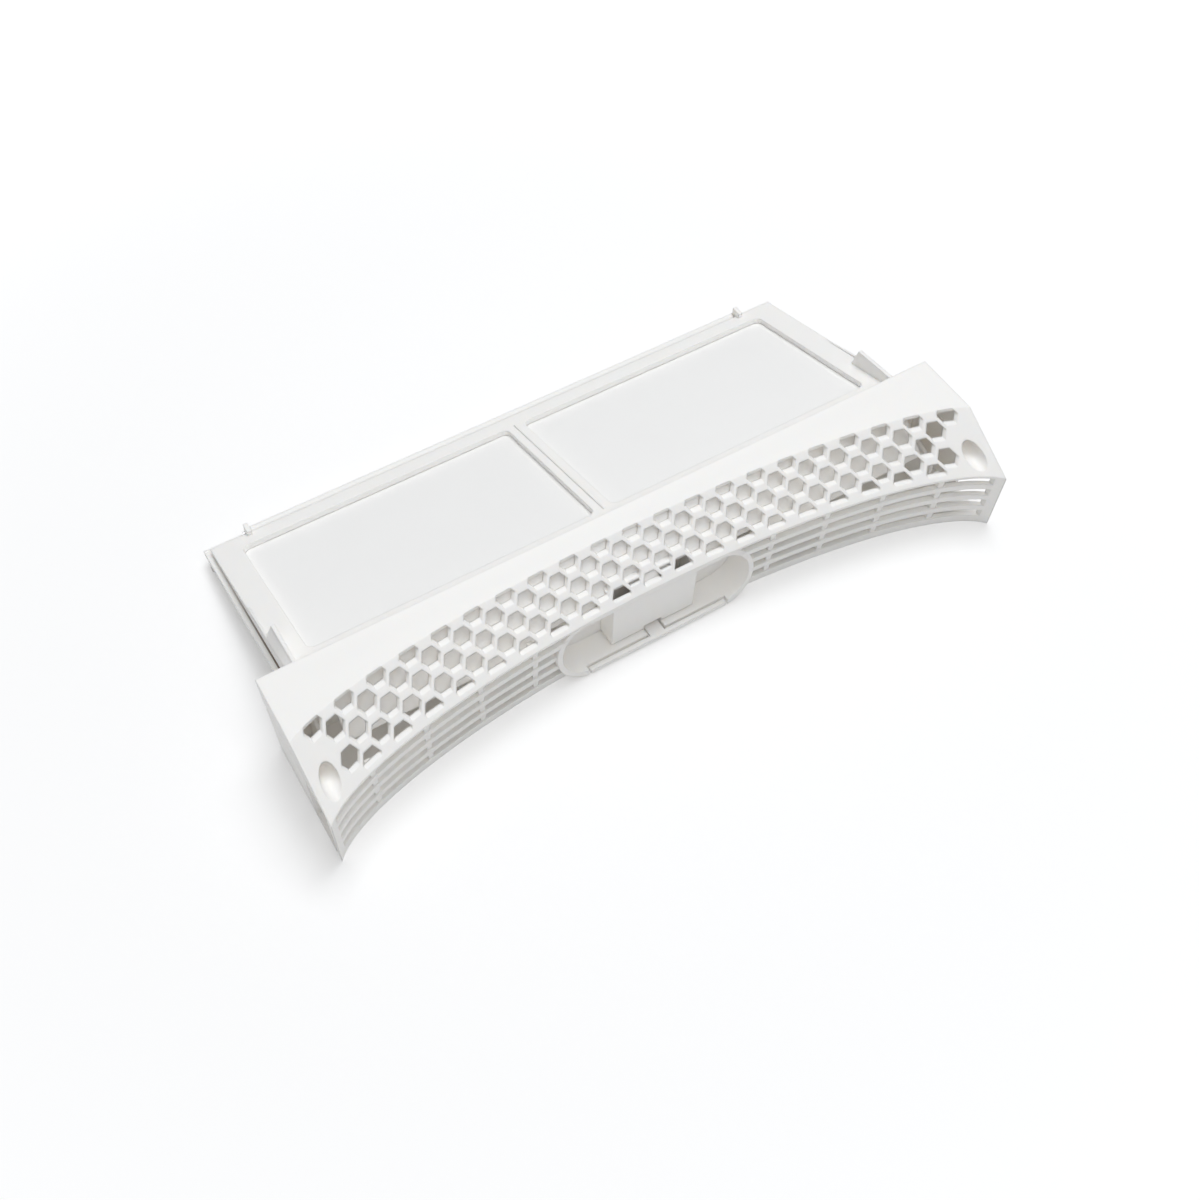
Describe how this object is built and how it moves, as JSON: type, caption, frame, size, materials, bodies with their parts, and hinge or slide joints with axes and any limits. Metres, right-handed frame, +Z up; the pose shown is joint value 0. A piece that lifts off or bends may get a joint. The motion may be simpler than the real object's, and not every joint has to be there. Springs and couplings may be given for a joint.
{
  "type": "tumble dryer lint filter",
  "caption": "White lint filter for a tumble dryer: a curved grille head with finger pocket on a hinged wedge pouch of two framed gauze panels, held shut by a latch.",
  "frame": {"origin": "centre of the part's box, on the floor it lies on", "axes": "+X along the head, -Y towards the finger pocket, +Z up"},
  "size_m": [0.37, 0.189, 0.0585],
  "materials": {
    "white_plastic": "satin moulded plastic",
    "gauze": "fine woven polyester gauze",
    "steel_rod": "drawn steel"
  },
  "bodies": {
    "base": {"base_tray": "white_plastic", "lower_frame": "white_plastic", "lower_mesh_left": "gauze", "lower_mesh_right": "gauze", "hinge_rod": "steel_rod"},
    "cover": {"grille_head": "white_plastic", "upper_frame": "white_plastic", "upper_mesh_left": "gauze", "upper_mesh_right": "gauze"},
    "latch": {"latch_lever": "white_plastic"}
  },
  "joints": [
    {"name": "cover_hinge", "type": "hinge", "parent": "base", "child": "cover", "pos_m": [0, 0.09209, 0.0104], "axis": [-1, 0, 0], "range_deg": [0, 110]},
    {"name": "latch_pivot", "type": "hinge", "parent": "base", "child": "latch", "pos_m": [0, -0.03713, 0.006], "axis": [-1, 0, 0], "range_deg": [0, 5], "stiffness_Nm_per_rad": 0.3}
  ]
}
